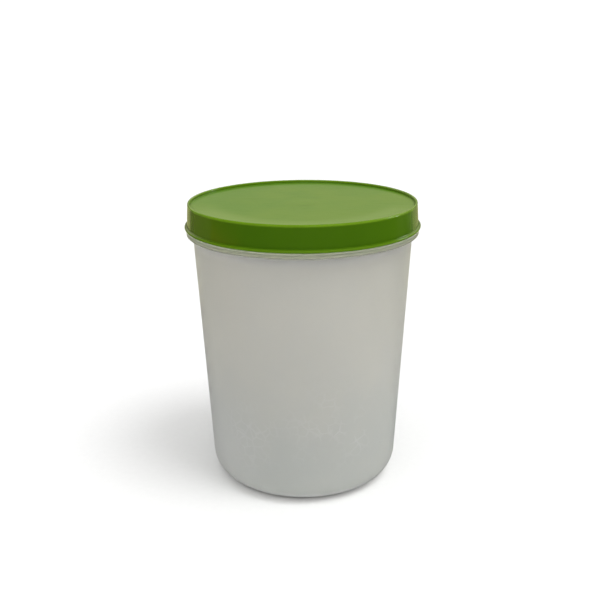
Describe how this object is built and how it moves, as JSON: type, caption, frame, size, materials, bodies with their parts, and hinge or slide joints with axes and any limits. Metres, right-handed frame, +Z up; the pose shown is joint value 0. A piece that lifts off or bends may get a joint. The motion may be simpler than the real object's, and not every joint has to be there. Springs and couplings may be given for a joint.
{
  "type": "snap lid food container",
  "caption": "Round tapered food container in milky translucent plastic, with a green press-on lid that snaps over the mouth and lifts straight off.",
  "frame": {"origin": "centre of the base, on the plane that the container stands on", "axes": "+Z up along the container's axis of revolution, towards the lid; the part is round, so X and Y are any two directions across it"},
  "size_m": [0.1342, 0.1342, 0.1649],
  "materials": {
    "container_plastic": "milky translucent natural polypropylene, satin moulded surface",
    "lid_plastic": "leaf-green moulded polyethylene, glossy skirt and satin top panel"
  },
  "bodies": {
    "container": {"container": "container_plastic"},
    "lid": {"lid": "lid_plastic"}
  },
  "joints": [
    {"name": "lid_lift", "type": "slide", "parent": "container", "child": "lid", "axis": [0, 0, 1], "range_m": [0, 0.1]}
  ]
}
